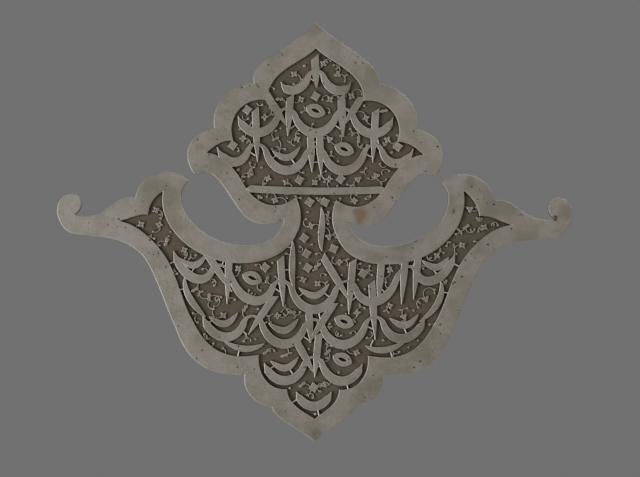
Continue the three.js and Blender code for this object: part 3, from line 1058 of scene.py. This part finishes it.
class Nodes:
    """Short names for adding and linking the nodes of one material"""

    def __init__(self, tree):
        self.tree = tree

    def add(self, kind, inputs=None, **values):
        node = self.tree.nodes.new(kind)
        for key, value in values.items():
            setattr(node, key, value)
        for key, value in (inputs or {}).items():
            self.feed(node.inputs[key], value)
        return node

    def feed(self, socket, value):
        if isinstance(value, bpy.types.NodeSocket):
            self.tree.links.new(value, socket)
        else:
            socket.default_value = value

    def noise(self, place, scale, detail=4, roughness=0.55, distortion=0.0):
        return self.add("ShaderNodeTexNoise", {
            "Vector": place, "Scale": scale, "Detail": detail, "Roughness": roughness,
            "Distortion": distortion,
        }).outputs["Fac"]

    def ramp(self, value, low, high, to_low=0.0, to_high=1.0):
        node = self.add("ShaderNodeMapRange", {
            "Value": value, "From Min": low, "From Max": high, "To Min": to_low,
            "To Max": to_high,
        }, interpolation_type="SMOOTHSTEP")
        return node.outputs["Result"]

    def blend(self, share, first, second):
        node = self.add("ShaderNodeMix", data_type="RGBA")
        self.feed(node.inputs["Factor"], share)
        self.feed(node.inputs["A"], first)
        self.feed(node.inputs["B"], second)
        return node.outputs["Result"]

    def math(self, operation, first, second=0.0):
        node = self.add("ShaderNodeMath", operation=operation)
        self.feed(node.inputs[0], first)
        self.feed(node.inputs[1], second)
        return node.outputs["Value"]


def colour(value):
    return (*value, 1.0)


def chiselled_steel():
    """Worn grey steel on what is raised, brown and dull on what is sunk, with a painted highlight on
    the rounded arrises and painted shade on the ground near the walls
    """
    tones = settings("plaque_finish")
    plate = settings("plaque_plate")
    material = new_material("chiselled_steel")
    n = Nodes(material.node_tree)
    coordinates = n.add("ShaderNodeTexCoord")
    place = coordinates.outputs["Object"]
    parts = n.add("ShaderNodeSeparateXYZ", {"Vector": place})
    depth = n.math("MULTIPLY", parts.outputs["Y"], -1.0)
    raised = n.ramp(depth, plate.ground + 0.7 * MM, plate.ground + 1.9 * MM)
    normal = n.add("ShaderNodeSeparateXYZ", {"Vector": coordinates.outputs["Normal"]})
    facing = n.math("ABSOLUTE", normal.outputs["Y"])
    # Mask of the rounded arrises on what is raised, used for the painted edge highlight
    arris = n.math(
        "MULTIPLY", n.ramp(facing, 0.99, 0.9), n.math("MULTIPLY", n.ramp(facing, 0.2, 0.45), raised)
    )

    cloud = n.noise(place, 22, detail=3)
    mottle = n.noise(place, 95, detail=6, roughness=0.62)
    speck = n.noise(place, 420, detail=5, roughness=0.7)
    fine = n.noise(place, 1500, detail=3)

    steel = n.blend(
        n.ramp(mottle, 0.40, 0.64), colour(tones.steel), colour(tones.olive)
    )
    steel = n.blend(
        n.math("MULTIPLY", n.ramp(cloud, 0.48, 0.66), 0.55), steel, colour(tones.tarnish)
    )
    steel = n.blend(n.math("MULTIPLY", n.ramp(speck, 0.56, 0.70), 0.45), steel, colour(tones.tarnish))
    steel = add_stains(n, place, steel, tones)
    pits = pit_mask(n, place)
    steel = n.blend(n.math("MULTIPLY", pits, 0.85), steel, colour(tones.dirt_and_shade))
    # Painted highlight, with some wear: the arrises are brightened towards this colour, standing in
    # for light catching the edges
    steel = n.blend(n.math("MULTIPLY", arris, 0.6), steel, colour(tones.worn_edge_highlight))

    sunk_patina_and_shade = n.blend(n.ramp(mottle, 0.38, 0.64), colour(tones.ground), colour(tones.ground_green))
    sunk_patina_and_shade = n.blend(
        n.math("MULTIPLY", n.ramp(n.noise(place, 160, detail=4), 0.5, 0.66), 0.6),
        sunk_patina_and_shade, colour(tones.ground_pink),
    )
    # Painted shade: the ground darkens towards the dark colour where ambient occlusion finds walls
    # and narrow slots close by
    shelter = n.add("ShaderNodeAmbientOcclusion", {"Distance": 4.0 * MM}, samples=8)
    painted_shade_mask = n.ramp(shelter.outputs["AO"], 0.75, 0.25)
    sunk_patina_and_shade = n.blend(n.math("MULTIPLY", painted_shade_mask, 0.8), sunk_patina_and_shade, colour(tones.dirt_and_shade))
    base = n.blend(raised, sunk_patina_and_shade, steel)

    rough_steel = n.math("ADD", n.ramp(speck, 0.3, 0.7, 0.40, 0.54), n.math("MULTIPLY", pits, 0.3))
    rough = n.add("ShaderNodeMix", {}, data_type="FLOAT")
    n.feed(rough.inputs["Factor"], raised)
    n.feed(rough.inputs["A"], 0.78)
    n.feed(rough.inputs["B"], rough_steel)

    relief = n.math("ADD", n.math("MULTIPLY", fine, 0.25), n.math("MULTIPLY", speck, 0.5))
    relief = n.math("SUBTRACT", relief, n.math("MULTIPLY", pits, 1.2))
    bump = n.add("ShaderNodeBump", {"Strength": 0.5, "Distance": 0.2 * MM, "Height": relief})

    shader = n.add("ShaderNodeBsdfPrincipled", {
        "Base Color": base,
        "Metallic": n.math("MULTIPLY", raised, 0.85),
        "Roughness": rough.outputs["Result"],
        "Normal": bump.outputs["Normal"],
    })
    n.add("ShaderNodeOutputMaterial", {"Surface": shader.outputs["BSDF"]})
    return material


def pit_mask(n, place):
    """Scattered small pits, in clusters, and a few short scratches"""
    cells = n.add("ShaderNodeTexVoronoi", {"Vector": place, "Scale": 230.0, "Randomness": 1.0})
    holes = n.ramp(cells.outputs["Distance"], 0.26, 0.10)
    clusters = n.ramp(n.noise(place, 75, detail=3, distortion=0.6), 0.52, 0.62)
    stretched = n.add("ShaderNodeMapping", {
        "Vector": place, "Rotation": (0.0, math.radians(35), 0.0), "Scale": (0.18, 1.0, 1.0),
    })
    scratches = n.ramp(n.noise(stretched.outputs["Vector"], 900, detail=1), 0.74, 0.80)
    dots = n.math("MULTIPLY", holes, clusters)
    return n.math("MAXIMUM", dots, n.math("MULTIPLY", scratches, clusters))


def add_stains(n, place, steel, tones):
    """The stains that the photograph shows in places of their own"""
    for (x, z), radius, strength, name in STAINS:
        offset = n.add("ShaderNodeVectorMath", {}, operation="DISTANCE")
        n.feed(offset.inputs[0], place)
        offset.inputs[1].default_value = (x * MM, -5 * MM, z * MM)
        ragged = n.math("ADD", offset.outputs["Value"], n.math(
            "MULTIPLY", n.noise(place, 160, detail=4), radius * MM * 0.9
        ))
        mask = n.ramp(ragged, radius * 1.4 * MM, radius * 0.7 * MM)
        steel = n.blend(n.math("MULTIPLY", mask, strength), steel, colour(getattr(tones, name)))
    return steel


class PLAQUE_OT_stage(bpy.types.Operator):
    """Sets up the floor, the plain grey surroundings, the lights and the camera"""

    bl_idname = "plaque.stage"
    bl_label = "Stage"

    def execute(self, context):
        sizes = settings("plaque_stage")
        self.make_floor(sizes)
        self.make_surroundings(sizes)
        self.make_light("key", (-1.3, -1.2, -0.25), 1.0, 16)
        self.make_light("fill", (0.9, -1.8, 0.9), 1.4, 8)
        self.make_light("back", (0.4, 1.8, 0.9), 1.4, 14)
        self.make_camera(sizes)
        return {"FINISHED"}

    def make_floor(self, sizes):
        deselect_all()
        bpy.ops.mesh.primitive_circle_add(
            vertices=96, radius=sizes.floor_radius, fill_type="NGON",
            location=(0, 0, -sizes.floor_drop),
        )
        floor = bpy.context.object
        floor.name = "floor"
        bpy.ops.object.transform_apply(location=True, rotation=True, scale=True)
        material = new_material("pale_floor")
        n = Nodes(material.node_tree)
        shader = n.add("ShaderNodeBsdfPrincipled", {
            "Base Color": (0.62, 0.62, 0.61, 1), "Roughness": 0.8,
        })
        n.add("ShaderNodeOutputMaterial", {"Surface": shader.outputs["BSDF"]})
        floor.data.materials.append(material)

    def make_surroundings(self, sizes):
        world = bpy.data.worlds.new("plain_grey")
        world.use_nodes = True
        background = world.node_tree.nodes["Background"]
        background.inputs["Color"].default_value = colour(sizes.backdrop)
        bpy.context.scene.world = world

    def make_light(self, name, place, size, power):
        data = bpy.data.lights.new(name, "AREA")
        data.size = size
        data.energy = power
        light = bpy.data.objects.new(name, data)
        bpy.context.scene.collection.objects.link(light)
        light.location = place
        light.rotation_euler = (-Vector(place)).to_track_quat("-Z", "Y").to_euler()

    def make_camera(self, sizes):
        data = bpy.data.cameras.new("camera")
        data.lens = sizes.lens
        camera = bpy.data.objects.new("camera", data)
        bpy.context.scene.collection.objects.link(camera)
        frame_width = PHOTO_WIDTH_PX * PHOTO_MM_PER_PX * MM
        distance = frame_width * data.lens / data.sensor_width
        right = PHOTO_WIDTH_PX / 2 - MIDDLE_PX[0]
        down = PHOTO_HEIGHT_PX / 2 - MIDDLE_PX[1]
        lean = -sizes.roll
        aim_x = (right * math.cos(lean) + down * math.sin(lean)) * PHOTO_MM_PER_PX * MM
        aim_z = -(down * math.cos(lean) - right * math.sin(lean)) * PHOTO_MM_PER_PX * MM
        camera.location = (aim_x, -distance - settings("plaque_plate").thickness, aim_z)
        camera.rotation_euler = (math.pi / 2, sizes.roll, 0)
        bpy.context.scene.camera = camera


class PLAQUE_PT_panel(bpy.types.Panel):
    """Lists the plaque's sizes and its steps"""

    bl_idname = "PLAQUE_PT_panel"
    bl_label = "Plaque"
    bl_space_type = "VIEW_3D"
    bl_region_type = "UI"
    bl_category = "Plaque"

    def draw(self, context):
        for name in GROUPS:
            box = self.layout.box()
            for key in getattr(context.scene, name).bl_rna.properties.keys():
                if key not in ("rna_type", "name"):
                    box.prop(getattr(context.scene, name), key)
        for step in STEPS:
            self.layout.operator(step.bl_idname)


GROUPS = {
    "plaque_plate": PlateSettings,
    "plaque_strokes": StrokeSettings,
    "plaque_ornament": OrnamentSettings,
    "plaque_finish": FinishSettings,
    "plaque_stage": StageSettings,
}
STEPS = (
    PLAQUE_OT_plate, PLAQUE_OT_strokes, PLAQUE_OT_lozenges, PLAQUE_OT_ornament,
    PLAQUE_OT_unite, PLAQUE_OT_stage,
)


def register():
    for name, group in GROUPS.items():
        bpy.utils.register_class(group)
        setattr(bpy.types.Scene, name, bpy.props.PointerProperty(type=group))
    for step in STEPS:
        bpy.utils.register_class(step)
    bpy.utils.register_class(PLAQUE_PT_panel)


def unregister():
    bpy.utils.unregister_class(PLAQUE_PT_panel)
    for step in reversed(STEPS):
        bpy.utils.unregister_class(step)
    for name, group in reversed(GROUPS.items()):
        delattr(bpy.types.Scene, name)
        bpy.utils.unregister_class(group)


def main():
    register()
    deselect_all()
    for step in STEPS:
        group, name = step.bl_idname.split(".")
        getattr(getattr(bpy.ops, group), name)()


if __name__ == "__main__":
    main()
